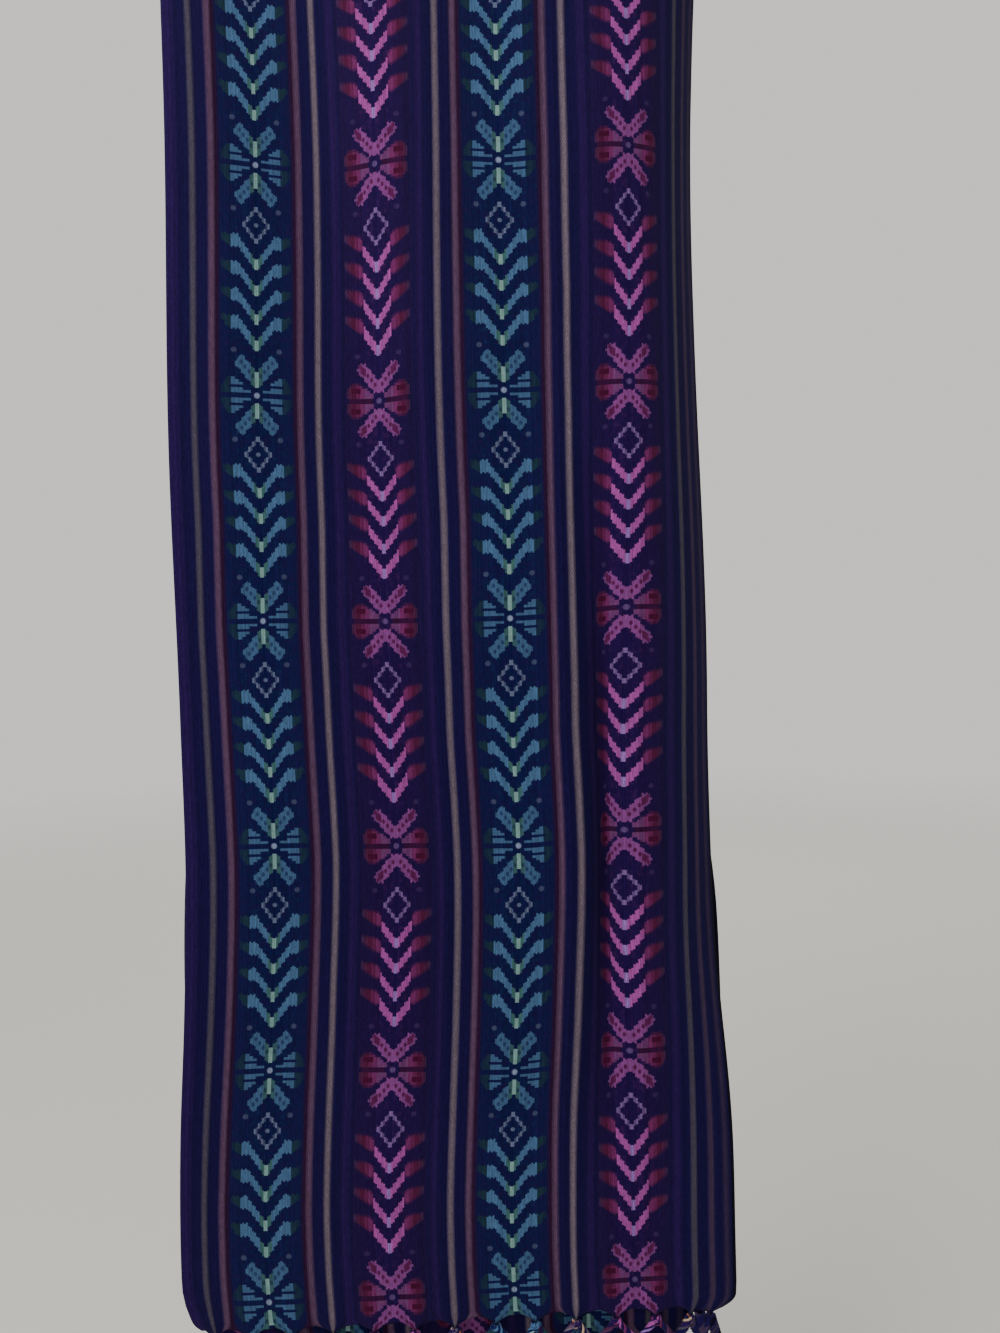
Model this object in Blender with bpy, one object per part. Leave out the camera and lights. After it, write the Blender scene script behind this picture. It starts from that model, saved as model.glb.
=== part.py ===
"""Rebozo shawl, folded once along its length and hung over a round rod.

The shawl is one long warp-faced cloth with a knotted fringe at each end. It is folded lengthwise, so
that its outer layer shows and its narrower hidden layer lies behind it, and then hung over the rod with
a longer front drop and a shorter back drop.

Metres, +Z up. The origin is the middle of the rod's axis, X runs along the rod and the front faces -Y.
"Across" is the distance over the cloth from its fold, and "drop" is the depth below the rod's axis.
"""
import math
from collections import namedtuple

import bmesh
import bpy
import numpy as np

# Woven bands, and the layers as folded: four bands on each
BAND_PITCH = 0.0698
FOLD_TO_FIRST_BAND = 0.0485
SELVAGE_MARGIN = 0.0589
OUTER_WIDTH = FOLD_TO_FIRST_BAND + 3 * BAND_PITCH + SELVAGE_MARGIN
HIDDEN_WIDTH = 4 * BAND_PITCH - FOLD_TO_FIRST_BAND + SELVAGE_MARGIN
FRONT_DROP = 1.050
BACK_DROP = 0.900
HEM_RISE = 0.0005
HEM_RISE_FROM = 0.6
HIDDEN_LOWER = 0.016
HIDDEN_HIGHER = 0.0085
WALL = 0.0012
LAYER_GAP = 0.0010

# Rod
ROD_RADIUS = 0.011
ROD_LENGTH = 0.420
ROD_SIDES = 40
ROD_CHAMFER = 0.001
ROD_GAP = 0.0004

# Offsets of the wall's four faces from the rod's surface
HIDDEN_INNER = ROD_GAP
HIDDEN_OUTER = HIDDEN_INNER + WALL
OUTER_INNER = HIDDEN_OUTER + LAYER_GAP
OUTER_OUTER = OUTER_INNER + WALL

# Columns across the cloth and stations along it
PLAIN_COLUMNS = 10
TURNED_COLUMNS = 9
TURNED_FROM = 0.216
FOLD_ARC_STEPS = 4
STATION_STEP = 0.066
ROD_ARC_STEPS = 6
HEM_STATIONS = (0.0, 0.004, 0.009, 0.016, 0.048)
FINE_SAMPLES = 320
NARROWEST_COLUMN = 0.004
SHADE_ANGLE = 40

# Sideways sway of the whole cloth with the drop
Sway = namedtuple("Sway", "drop shift")
SWAY = (
    Sway(0.00, 0.0000),
    Sway(0.15, 0.0005),
    Sway(0.36, 0.0020),
    Sway(0.55, -0.0012),
    Sway(0.70, 0.0004),
    Sway(0.80, 0.0005),
    Sway(0.87, -0.0028),
    Sway(0.94, -0.0072),
    Sway(1.00, -0.0089),
    Sway(1.05, -0.0085),
)

# Soft folds. Each row is one flank, where the cloth turns by an angle about the vertical: a positive
# angle leads away from the front as one goes right. A flank drifts from across_top to across_low.
Flank = namedtuple("Flank", "across_top across_low start peak end degrees reach")
FLANKS = (
    Flank(0.020, 0.075, 0.02, 0.36, 0.82, 18.0, 0.030),
    Flank(0.075, 0.160, 0.02, 0.40, 0.84, -27.0, 0.024),
    Flank(0.130, 0.215, 0.02, 0.42, 0.82, 14.0, 0.028),
    Flank(0.228, 0.232, 0.42, 0.80, 1.02, 55.0, 0.009),
    Flank(0.249, 0.251, 0.42, 0.80, 1.02, -57.0, 0.009),
)

# The selvage side turns away from the front, most of all a little below the rod
Turn = namedtuple("Turn", "drop degrees")
SELVAGE_TURN = (
    Turn(0.00, 0.0),
    Turn(0.10, 22.0),
    Turn(0.22, 52.0),
    Turn(0.34, 60.0),
    Turn(0.48, 57.0),
    Turn(0.64, 52.0),
    Turn(0.80, 44.0),
    Turn(0.88, 33.0),
    Turn(0.96, 8.0),
    Turn(1.01, 0.0),
    Turn(1.05, 0.0),
)
TURN_FROM = 0.232
TURN_TO = 0.322

# Warps drawn in at the hem's corners by the first knots
FOLD_CORNER = {"inset": 0.0095, "reach": 0.024, "height": 0.031}
SELVAGE_CORNER = {"inset": 0.0085, "reach": 0.044, "height": 0.013}

# Fringe: first knots at the hem, crossed legs, second knots, then hanging strands
KNOT_PITCH = BAND_PITCH / 3
OUTER_FIRST_KNOT = FOLD_TO_FIRST_BAND - BAND_PITCH / 2
HIDDEN_FIRST_KNOT = BAND_PITCH - FOLD_TO_FIRST_BAND - BAND_PITCH / 6
CORNER_KNOT_INSET = 0.008
LEAST_KNOT_STEP = 0.4 * KNOT_PITCH
END_KNOT_OUT = 0.006
STRIP_INSET = 0.001
SEAM_GAP = 0.0004
STRIP_BOTTOM = 0.0024
FIRST_KNOT_BOTTOM = 0.0060
SECOND_KNOT_TOP = 0.0120
SECOND_KNOT_BOTTOM = 0.0165
KNOT_HALF_WIDTH = 0.0030
STRIP_HALF_THICKNESS = 0.0006
KNOT_HALF_THICKNESS = 0.0013
STRANDS_PER_KNOT = 4
STRANDS_PER_END_KNOT = 2
STRAND_SPACING = 0.00175
STRAND_HALF_WIDTH = 0.00062
STRAND_HALF_THICKNESS = 0.0009
STRAND_LENGTH = 0.074
STRAND_LENGTH_SPREAD = 0.006
UNEVEN_BY_KNOT = 2.4
UNEVEN_BY_STRAND = 1.7
STRAND_SPLAY = 0.0036
StrandStage = namedtuple("StrandStage", "down splay size")
STRAND_STAGES = (
    StrandStage(0.35, 0.62, 1.0),
    StrandStage(1.00, 1.00, 0.6),
)
LAYER_SPREAD = 0.0013
LAYER_SPREAD_REACH = 0.012

FRONT = -1
BACK = 1


def smooth(value):
    """Smooth step from 0 to 1."""
    value = np.clip(value, 0.0, 1.0)
    return value * value * (3.0 - 2.0 * value)


def swell(drop, start, peak, end):
    """0 at start, 1 at peak, 0 again at end."""
    return smooth((drop - start) / (peak - start)) * smooth((end - drop) / (end - peak))


def along_rows(drop, rows):
    """Value at a drop of a smooth curve through (drop, value) rows."""
    places = [row[0] for row in rows]
    values = [row[1] for row in rows]
    slopes = np.gradient(values, places)
    i = min(max(int(np.searchsorted(places, drop)) - 1, 0), len(rows) - 2)
    span = places[i + 1] - places[i]
    t = min(max((drop - places[i]) / span, 0.0), 1.0)
    start = (1 + 2 * t) * (1 - t) ** 2 * values[i] + t * (1 - t) ** 2 * span * slopes[i]
    end = t * t * (3 - 2 * t) * values[i + 1] - t * t * (1 - t) * span * slopes[i + 1]
    return start + end


def turn_at(across, drop):
    """Angle between the cloth and the front plane, seen from above."""
    angle = np.zeros_like(across)
    for flank in FLANKS:
        depth = (drop - flank.start) / (flank.end - flank.start)
        centre = flank.across_top + (flank.across_low - flank.across_top) * np.clip(depth, 0.0, 1.0)
        bump = np.exp(-((across - centre) / flank.reach) ** 2)
        angle += flank.degrees * swell(drop, flank.start, flank.peak, flank.end) * bump
    selvage = smooth((across - TURN_FROM) / (TURN_TO - TURN_FROM))
    angle += along_rows(drop, SELVAGE_TURN) * selvage
    return np.radians(angle)


FINE_ACROSS = np.linspace(0.0, OUTER_WIDTH, FINE_SAMPLES)


def section_at(drop, above_hem):
    """X, depth and turn along the cloth's section at one drop, for FINE_ACROSS."""
    turn = turn_at(FINE_ACROSS, drop)
    step = FINE_ACROSS[1] - FINE_ACROSS[0]
    middle = 0.5 * (turn[1:] + turn[:-1])
    x = np.concatenate(([0.0], np.cumsum(np.cos(middle) * step)))
    depth = np.concatenate(([0.0], np.cumsum(np.sin(middle) * step)))
    x += along_rows(drop, SWAY) - OUTER_WIDTH / 2
    x += corner_inset(FOLD_CORNER, FINE_ACROSS, above_hem)
    x -= corner_inset(SELVAGE_CORNER, OUTER_WIDTH - FINE_ACROSS, above_hem)
    return x, depth, turn


def corner_inset(corner, from_edge, above_hem):
    """How far the drawn-in warps move from one edge towards the middle."""
    near_edge = smooth(1.0 - from_edge / corner["reach"])
    near_hem = max(1.0 - above_hem / corner["height"], 0.0) ** 2
    return corner["inset"] * near_edge * near_hem


def hem_drop(side, across):
    """Drop of the hem: the selvage side is pulled a little over the rod to the back."""
    share = (across / OUTER_WIDTH - HEM_RISE_FROM) / (1.0 - HEM_RISE_FROM)
    rise = HEM_RISE * smooth(share)
    return FRONT_DROP - rise if side == FRONT else BACK_DROP + rise


def drop_point(side, across, offset, above_hem, hidden):
    """A point on the front or the back drop, at an offset out from the rod's side.

    The hidden layer has the shorter way over the rod and sags forwards, so towards its selvage it ends
    lower than the outer layer in front and higher behind.
    """
    hem = float(hem_drop(side, across))
    drop = hem - above_hem
    lower = 0.0
    if hidden:
        lower = across / HIDDEN_WIDTH * (HIDDEN_LOWER if side == FRONT else -HIDDEN_HIGHER)
    z = -drop * (1.0 + lower / hem)
    x, depth, turn = section_at(drop * FRONT_DROP / hem, max(above_hem, 0.0))
    x = np.interp(across, FINE_ACROSS, x)
    depth = np.interp(across, FINE_ACROSS, depth)
    turn = np.interp(across, FINE_ACROSS, turn)
    out_x = -side * math.sin(turn) * offset
    out_y = side * math.cos(turn) * offset
    return (x + out_x, side * ROD_RADIUS + depth + out_y, z)


def rod_point(across, offset, angle):
    """A point where the cloth turns over the rod: angle 0 is the front, pi the back."""
    radius = ROD_RADIUS + offset
    x = across - OUTER_WIDTH / 2
    return (x, -radius * math.cos(angle), radius * math.sin(angle))


def stations():
    """Places along the cloth from the front hem to the back hem, as (kind, value)."""
    places = [(FRONT, above) for above in HEM_STATIONS]
    places += [(FRONT, above) for above in climb(FRONT_DROP)]
    places += [(0, math.pi * step / ROD_ARC_STEPS) for step in range(ROD_ARC_STEPS + 1)]
    places += [(BACK, above) for above in reversed(climb(BACK_DROP))]
    places += [(BACK, above) for above in reversed(HEM_STATIONS)]
    return places


def climb(drop):
    """Even steps from the last hem station to just below the rod's axis."""
    start = HEM_STATIONS[-1]
    count = round((drop - start) / STATION_STEP)
    return [start + (drop - start) * step / count for step in range(1, count)]


def columns():
    """Across values of the mesh columns of the outer and the hidden layer."""
    outer = list(np.linspace(0.0, TURNED_FROM, PLAIN_COLUMNS + 1))
    outer += list(np.linspace(TURNED_FROM, OUTER_WIDTH, TURNED_COLUMNS + 1))[1:]
    hidden = [across for across in outer if across < HIDDEN_WIDTH - NARROWEST_COLUMN]
    hidden.append(HIDDEN_WIDTH)
    return outer, hidden


def section_outline():
    """The hairpin section as pairs of (across, offset): the outside path and the inside path."""
    outer, hidden = columns()
    outside = [(across, OUTER_OUTER) for across in reversed(outer)]
    inside = [(across, OUTER_INNER) for across in reversed(outer)]
    middle = 0.5 * (HIDDEN_OUTER + OUTER_INNER)
    for step in range(1, FOLD_ARC_STEPS):
        angle = math.pi * step / FOLD_ARC_STEPS
        for path, radius in ((outside, LAYER_GAP / 2 + WALL), (inside, LAYER_GAP / 2)):
            path.append((-radius * math.sin(angle), middle + radius * math.cos(angle)))
    outside += [(across, HIDDEN_INNER) for across in hidden]
    inside += [(across, HIDDEN_OUTER) for across in hidden]
    return outside, inside


def cloth_point(place, across, offset):
    """A point of the cloth at a station. Past the fold, across is negative and runs straight on."""
    kind, value = place
    on_cloth = max(across, 0.0)
    past_fold = min(across, 0.0)
    if kind == 0:
        point = rod_point(on_cloth, offset, value)
    else:
        hidden = offset < 0.5 * (HIDDEN_OUTER + OUTER_INNER)
        point = drop_point(kind, on_cloth, offset, value, hidden)
    return (point[0] + past_fold, point[1], point[2])


def make_cloth():
    """The doubled cloth as one thick sheet, swept from hem to hem over the rod."""
    outside, inside = section_outline()
    mesh = bmesh.new()
    rows = []
    for place in stations():
        row = [[mesh.verts.new(cloth_point(place, *pair)) for pair in path] for path in (outside, inside)]
        rows.append(row)
    last = len(outside) - 1
    for lower, upper in zip(rows, rows[1:]):
        for i in range(last):
            mesh.faces.new((lower[0][i], lower[0][i + 1], upper[0][i + 1], upper[0][i]))
            mesh.faces.new((lower[1][i + 1], lower[1][i], upper[1][i], upper[1][i + 1]))
        for i in (0, last):
            mesh.faces.new((lower[0][i], upper[0][i], upper[1][i], lower[1][i]))
    for row in (rows[0], rows[-1]):
        for i in range(last):
            mesh.faces.new((row[0][i], row[0][i + 1], row[1][i + 1], row[1][i]))
    return add_object("cloth", mesh, "woven_cloth")


class Net:
    """A flat net of polygons (across, below hem) that is given a thickness and closed."""

    def __init__(self, side, hidden):
        self.side = side
        self.hidden = hidden
        self.base_offset = (HIDDEN_INNER if hidden else OUTER_INNER) + WALL / 2
        self.spread_out = -1 if hidden else 1
        self.mesh = bmesh.new()
        self.corners = {}
        self.edges = {}
        self.roots = set()

    def place(self, across, below, outward):
        """World position of a point of the net, outward from its middle surface."""
        spread = self.spread_out * LAYER_SPREAD * float(smooth(below / LAYER_SPREAD_REACH))
        offset = self.base_offset + spread + outward
        on_cloth = min(max(across, 0.0), OUTER_WIDTH)
        x, y, z = drop_point(self.side, on_cloth, offset, 0.0, self.hidden)
        return (x + across - on_cloth, y, z - below)

    def corner(self, across, below):
        """The front and back vertices of one point of the net."""
        key = (round(across, 6), round(below, 6))
        if key not in self.corners:
            knotted = STRIP_BOTTOM < below
            half = KNOT_HALF_THICKNESS if knotted else STRIP_HALF_THICKNESS
            near = self.mesh.verts.new(self.place(across, below, half))
            far = self.mesh.verts.new(self.place(across, below, -half))
            self.corners[key] = (near, far)
        return key

    def patch(self, points):
        """One polygon of the net, as its two faces. Its edges are closed at the end."""
        keys = [self.corner(*point) for point in points]
        self.mesh.faces.new([self.corners[key][0] for key in keys])
        self.mesh.faces.new([self.corners[key][1] for key in reversed(keys)])
        for start, end in zip(keys, keys[1:] + keys[:1]):
            self.edges[(start, end)] = True

    def close(self):
        """Side walls along every free edge that no strand grows from."""
        for start, end in self.edges:
            if (end, start) in self.edges or (start, end) in self.roots or (end, start) in self.roots:
                continue
            near_start, far_start = self.corners[start]
            near_end, far_end = self.corners[end]
            self.mesh.faces.new((near_end, near_start, far_start, far_end))

    def strand(self, left, right, splay, length):
        """A four-sided strand from a root edge: it splays and hangs to its tip."""
        left_key = self.corner(*left)
        right_key = self.corner(*right)
        self.roots.add((left_key, right_key))
        ring = [
            self.corners[left_key][0],
            self.corners[right_key][0],
            self.corners[right_key][1],
            self.corners[left_key][1],
        ]
        middle = 0.5 * (left[0] + right[0])
        for stage in STRAND_STAGES:
            across = middle + splay * stage.splay
            below = left[1] + length * stage.down
            half_width = STRAND_HALF_WIDTH * stage.size
            half_thickness = STRAND_HALF_THICKNESS * stage.size
            signs = ((-1, 1), (1, 1), (1, -1), (-1, -1))
            corners = [(across + a * half_width, b * half_thickness) for a, b in signs]
            lower = [self.mesh.verts.new(self.place(a, below, b)) for a, b in corners]
            for i in range(4):
                j = (i + 1) % 4
                self.mesh.faces.new((ring[i], ring[j], lower[j], lower[i]))
            ring = lower
        self.mesh.faces.new(ring)


def second_knots(first_knots):
    """Second knots lie midway between the first ones, with one half knot past each end."""
    knots = [(first_knots[0] - END_KNOT_OUT, STRANDS_PER_END_KNOT)]
    for left, right in zip(first_knots, first_knots[1:]):
        knots.append((0.5 * (left + right), STRANDS_PER_KNOT))
    knots.append((first_knots[-1] + END_KNOT_OUT, STRANDS_PER_END_KNOT))
    return knots


def make_fringe(name, side, hidden):
    """One knotted fringe: a narrow strip below the hem, two rows of knots and the strands."""
    width = HIDDEN_WIDTH if hidden else OUTER_WIDTH
    first = HIDDEN_FIRST_KNOT if hidden else OUTER_FIRST_KNOT
    corner_knot = width - CORNER_KNOT_INSET
    net = Net(side, hidden)
    half = KNOT_HALF_WIDTH

    count = int((corner_knot - first - LEAST_KNOT_STEP) / KNOT_PITCH) + 1
    knots = [first + KNOT_PITCH * i for i in range(count)] + [corner_knot]

    # Strip along the hem, with a break at each side and the middle of every first knot
    breaks = [STRIP_INSET]
    for knot in knots:
        breaks += [knot - half, knot, knot + half]
    breaks.append(width - STRIP_INSET)
    for left, right in zip(breaks, breaks[1:]):
        net.patch([(left, SEAM_GAP), (left, STRIP_BOTTOM), (right, STRIP_BOTTOM), (right, SEAM_GAP)])

    # First knots
    for knot in knots:
        for left, right in ((knot - half, knot), (knot, knot + half)):
            net.patch([
                (left, STRIP_BOTTOM),
                (left, FIRST_KNOT_BOTTOM),
                (right, FIRST_KNOT_BOTTOM),
                (right, STRIP_BOTTOM),
            ])

    # Second knots, the legs that reach them and the strands below them
    lower = second_knots(knots)
    for i, (centre, strands) in enumerate(lower):
        spread = STRAND_SPACING * (strands - 1) / 2 + STRAND_HALF_WIDTH
        left_top = (centre - spread, SECOND_KNOT_TOP)
        right_top = (centre + spread, SECOND_KNOT_TOP)
        middle_top = (centre, SECOND_KNOT_TOP)
        tops = [right_top, left_top]
        if 0 < i < len(lower) - 1:
            tops = [right_top, middle_top, left_top]
        if i > 0:
            end = middle_top if i < len(lower) - 1 else right_top
            start = knots[i - 1]
            net.patch([(start, FIRST_KNOT_BOTTOM), left_top, end, (start + half, FIRST_KNOT_BOTTOM)])
        if i < len(lower) - 1:
            start = knots[i]
            end = middle_top if i > 0 else left_top
            net.patch([(start - half, FIRST_KNOT_BOTTOM), end, right_top, (start, FIRST_KNOT_BOTTOM)])
        bottoms = []
        for strand in range(strands):
            place = strand - (strands - 1) / 2
            root = centre + place * STRAND_SPACING
            left = (root - STRAND_HALF_WIDTH, SECOND_KNOT_BOTTOM)
            right = (root + STRAND_HALF_WIDTH, SECOND_KNOT_BOTTOM)
            bottoms += [left, right]
            uneven = math.sin(UNEVEN_BY_KNOT * i + UNEVEN_BY_STRAND * strand)
            net.strand(left, right, place * STRAND_SPLAY, STRAND_LENGTH + STRAND_LENGTH_SPREAD * uneven)
        net.patch(tops + bottoms)
    net.close()
    return add_object(name, net.mesh, "fringe_yarn")


def make_rod():
    """A plain round rod with flat, lightly chamfered ends."""
    half = ROD_LENGTH / 2
    profile = (
        (-half, ROD_RADIUS - ROD_CHAMFER),
        (-half + ROD_CHAMFER, ROD_RADIUS),
        (half - ROD_CHAMFER, ROD_RADIUS),
        (half, ROD_RADIUS - ROD_CHAMFER),
    )
    mesh = bmesh.new()
    rings = []
    for x, radius in profile:
        ring = []
        for side in range(ROD_SIDES):
            angle = 2 * math.pi * side / ROD_SIDES
            ring.append(mesh.verts.new((x, radius * math.cos(angle), radius * math.sin(angle))))
        rings.append(ring)
    for left, right in zip(rings, rings[1:]):
        for i in range(ROD_SIDES):
            j = (i + 1) % ROD_SIDES
            mesh.faces.new((left[i], left[j], right[j], right[i]))
    mesh.faces.new(rings[0])
    mesh.faces.new(rings[-1])
    return add_object("rod", mesh, "oiled_wood")


MATERIALS = {
    "woven_cloth": {"colour": (0.012, 0.014, 0.060, 1.0), "roughness": 0.85, "metallic": 0.0},
    "fringe_yarn": {"colour": (0.040, 0.018, 0.055, 1.0), "roughness": 0.90, "metallic": 0.0},
    "oiled_wood": {"colour": (0.300, 0.150, 0.065, 1.0), "roughness": 0.50, "metallic": 0.0},
}


def material(name):
    """A Principled material from MATERIALS, made once."""
    made = bpy.data.materials.get(name)
    if made is None:
        made = bpy.data.materials.new(name)
        made.use_nodes = True
        shader = made.node_tree.nodes["Principled BSDF"]
        shader.inputs["Base Color"].default_value = MATERIALS[name]["colour"]
        shader.inputs["Roughness"].default_value = MATERIALS[name]["roughness"]
        shader.inputs["Metallic"].default_value = MATERIALS[name]["metallic"]
    return made


def add_object(name, mesh, material_name):
    """Put a bmesh in the scene as a named object with faces out."""
    bmesh.ops.recalc_face_normals(mesh, faces=mesh.faces)
    data = bpy.data.meshes.new(name)
    mesh.to_mesh(data)
    mesh.free()
    data.materials.append(material(material_name))
    data.shade_smooth()
    data.set_sharp_from_angle(angle=math.radians(SHADE_ANGLE))
    made = bpy.data.objects.new(name, data)
    bpy.context.collection.objects.link(made)
    return made


def main():
    """Build every piece of the shawl and its rod."""
    for old in list(bpy.data.objects):
        bpy.data.objects.remove(old, do_unlink=True)
    make_cloth()
    make_rod()
    make_fringe("fringe_front_outer", FRONT, hidden=False)
    make_fringe("fringe_front_hidden", FRONT, hidden=True)
    make_fringe("fringe_back_outer", BACK, hidden=False)
    make_fringe("fringe_back_hidden", BACK, hidden=True)


main()
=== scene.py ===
"""Looks of the rebozo shawl: a warp-faced cloth with picked-up flower and arrow bands, doubled along its
length and hung over a plain wooden rod, with a knotted fringe at each end.

The cloth follows the CAD solid's own sections and sizes, so the tables below repeat the ones it is built
from. Metres and +Z up; "across" is the distance over the cloth from its fold, "drop" the depth below the
rod's axis and "above" the height above a hem.
"""

import math
from collections import namedtuple

import bpy
import numpy as np
from mathutils import Matrix, Vector


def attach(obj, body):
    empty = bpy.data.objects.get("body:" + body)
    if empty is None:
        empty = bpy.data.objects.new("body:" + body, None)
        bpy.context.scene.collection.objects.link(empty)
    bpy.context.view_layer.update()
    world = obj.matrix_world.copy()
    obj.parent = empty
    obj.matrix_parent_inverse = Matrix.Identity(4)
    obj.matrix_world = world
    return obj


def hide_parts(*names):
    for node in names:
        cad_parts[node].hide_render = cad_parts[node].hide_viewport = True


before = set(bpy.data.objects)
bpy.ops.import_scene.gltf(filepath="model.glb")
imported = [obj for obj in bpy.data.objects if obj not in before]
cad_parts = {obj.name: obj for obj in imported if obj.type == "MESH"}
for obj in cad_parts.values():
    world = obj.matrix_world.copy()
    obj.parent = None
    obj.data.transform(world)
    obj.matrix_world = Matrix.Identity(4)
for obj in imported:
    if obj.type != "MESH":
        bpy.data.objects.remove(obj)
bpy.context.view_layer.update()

# ---- sizes shared with the CAD solid

BAND_PITCH = 0.0698
FOLD_TO_FIRST_BAND = 0.0485
SELVAGE_MARGIN = 0.0589
OUTER_WIDTH = FOLD_TO_FIRST_BAND + 3 * BAND_PITCH + SELVAGE_MARGIN
HIDDEN_WIDTH = 4 * BAND_PITCH - FOLD_TO_FIRST_BAND + SELVAGE_MARGIN
FRONT_DROP = 1.050
BACK_DROP = 0.900
HEM_RISE = 0.0005
HIDDEN_LOWER = 0.016
HIDDEN_HIGHER = 0.0085
ROD_RADIUS = 0.011
FRONT = -1
ON_ROD = 0
BACK = 1

# The shell's four faces, as offsets from the rod's surface: the two outer ones lie on the solid's faces
SHELL = 0.0009
HIDDEN_INNER = 0.0004
HIDDEN_OUTER = HIDDEN_INNER + SHELL
OUTER_OUTER = 0.0038
OUTER_INNER = OUTER_OUTER - SHELL
SOLID_WALL = 0.0012

SWAY = (
    (0.00, 0.0000), (0.15, 0.0005), (0.36, 0.0020), (0.55, -0.0012), (0.70, 0.0004),
    (0.80, 0.0005), (0.87, -0.0028), (0.94, -0.0072), (1.00, -0.0089), (1.05, -0.0085),
)
Flank = namedtuple("Flank", "across_top across_low start peak end degrees reach")
FLANKS = (
    Flank(0.020, 0.075, 0.02, 0.36, 0.82, 18.0, 0.030),
    Flank(0.075, 0.160, 0.02, 0.40, 0.84, -27.0, 0.024),
    Flank(0.130, 0.215, 0.02, 0.42, 0.82, 14.0, 0.028),
    Flank(0.228, 0.232, 0.42, 0.80, 1.02, 55.0, 0.009),
    Flank(0.249, 0.251, 0.42, 0.80, 1.02, -57.0, 0.009),
)
SELVAGE_TURN = (
    (0.00, 0.0), (0.10, 22.0), (0.22, 52.0), (0.34, 60.0), (0.48, 57.0), (0.64, 52.0),
    (0.80, 44.0), (0.88, 33.0), (0.96, 8.0), (1.01, 0.0), (1.05, 0.0),
)
TURN_FROM = 0.232
TURN_TO = 0.322
FOLD_CORNER = {"inset": 0.0095, "reach": 0.024, "height": 0.031}
SELVAGE_CORNER = {"inset": 0.0085, "reach": 0.044, "height": 0.013}

KNOT_PITCH = BAND_PITCH / 3
OUTER_FIRST_KNOT = FOLD_TO_FIRST_BAND - BAND_PITCH / 2
HIDDEN_FIRST_KNOT = BAND_PITCH - FOLD_TO_FIRST_BAND - BAND_PITCH / 6
CORNER_KNOT_INSET = 0.008
STRAND_SPACING = 0.00175
STRAND_SPLAY = 0.0036
STRAND_LENGTH = 0.074
STRAND_LENGTH_SPREAD = 0.006
LAYER_SPREAD = 0.0013
LAYER_SPREAD_REACH = 0.012

# ---- looks

# Softer ridges that the solid leaves out: each runs down the cloth and bulges towards the front
Ridge = namedtuple("Ridge", "across_top across_low start peak end height reach")
RIDGES = (
    Ridge(0.018, 0.030, 0.10, 0.45, 0.95, 0.0012, 0.010),
    Ridge(0.205, 0.196, 0.03, 0.30, 0.70, 0.0014, 0.011),
    Ridge(0.170, 0.182, 0.45, 0.75, 1.00, -0.0010, 0.012),
    Ridge(0.270, 0.276, 0.20, 0.60, 0.95, 0.0010, 0.008),
    Ridge(0.100, 0.118, 0.55, 0.80, 1.02, 0.0008, 0.012),
)

# A faint unevenness all over the cloth
UNEVEN_CLOSE = 0.00035
UNEVEN_WIDE = 0.00022

# Where the hems leave the solid a little: the hidden layer stands back, and in front its edge is curved
# and the side of the fold sags
HEM_FLARE = 0.0035
HEM_FLARE_HEIGHT = 0.028
HIDDEN_HEM_CURVE = 2.2
HEM_SAG = 0.0018
HEM_SAG_HEIGHT = 0.05
HEM_SAG_TO = 0.13
HEM_SAG_FADE = 0.05

# Hem: the warps are drawn together into the first knots, and the cloth's edge arches between them
HEM_ZONE = 0.010
OUTER_HEM_ARCH = 0.0042
HIDDEN_HEM_ARCH = 0.0018
LAST_GAP_ARCH_SHARE = 0.3
GATHER = 0.74
GATHER_HEIGHT = 0.0085
PUCKER = 0.0006
PUCKER_HEIGHT = 0.016

# How far the warps of the front drop stray towards the fold, at four places across
STRAY_AT = (0.017, 0.083, 0.153, 0.223)
Stray = namedtuple("Stray", "drop by")
STRAYS = (
    Stray(0.00, (0.0000, 0.0000, 0.0000, 0.0000)),
    Stray(0.30, (0.0014, 0.0030, 0.0026, 0.0004)),
    Stray(0.38, (0.0006, 0.0021, 0.0017, -0.0017)),
    Stray(0.46, (0.0005, 0.0020, 0.0014, -0.0025)),
    Stray(0.53, (0.0006, 0.0026, 0.0013, -0.0014)),
    Stray(0.59, (0.0000, 0.0024, 0.0012, 0.0006)),
    Stray(0.65, (0.0012, 0.0038, 0.0032, 0.0024)),
    Stray(0.71, (0.0004, 0.0026, 0.0037, 0.0035)),
    Stray(0.78, (-0.0006, 0.0006, 0.0020, 0.0021)),
    Stray(0.85, (-0.0003, 0.0014, 0.0013, 0.0019)),
    Stray(0.93, (0.0006, 0.0013, 0.0005, 0.0014)),
    Stray(0.98, (0.0016, 0.0019, 0.0012, 0.0006)),
    Stray(1.02, (0.0014, 0.0012, 0.0008, 0.0004)),
    Stray(1.05, (0.0000, 0.0000, 0.0000, 0.0000)),
)

# How far the middles of the bands stray besides, the cool ones towards the fold, the warm ones from it
COOL_BAND_STRAY = 0.0010
WARM_BAND_STRAY = 0.0021
BAND_STRAY_FROM = 0.10
BAND_STRAY_PEAK = 0.38
BAND_STRAY_TO = 0.66

# Height of each flower above the front hem, for the four bands of the outer layer
REPEAT = 0.1281
FLOWERS = (
    (0.0190, 0.1517, 0.2795, 0.4060, 0.5318, 0.6606),
    (0.0187, 0.1498, 0.2775, 0.4045, 0.5286, 0.6591),
    (0.0190, 0.1455, 0.2757, 0.4046, 0.5326, 0.6614),
    (0.0214, 0.1547, 0.2822, 0.4094, 0.5377, 0.6714),
)


def smooth(value):
    """Smooth step from 0 to 1."""
    value = np.clip(value, 0.0, 1.0)
    return value * value * (3.0 - 2.0 * value)


def swell(drop, start, peak, end):
    """0 at start, 1 at peak, 0 again at end."""
    return smooth((drop - start) / (peak - start)) * smooth((end - drop) / (end - peak))


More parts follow.
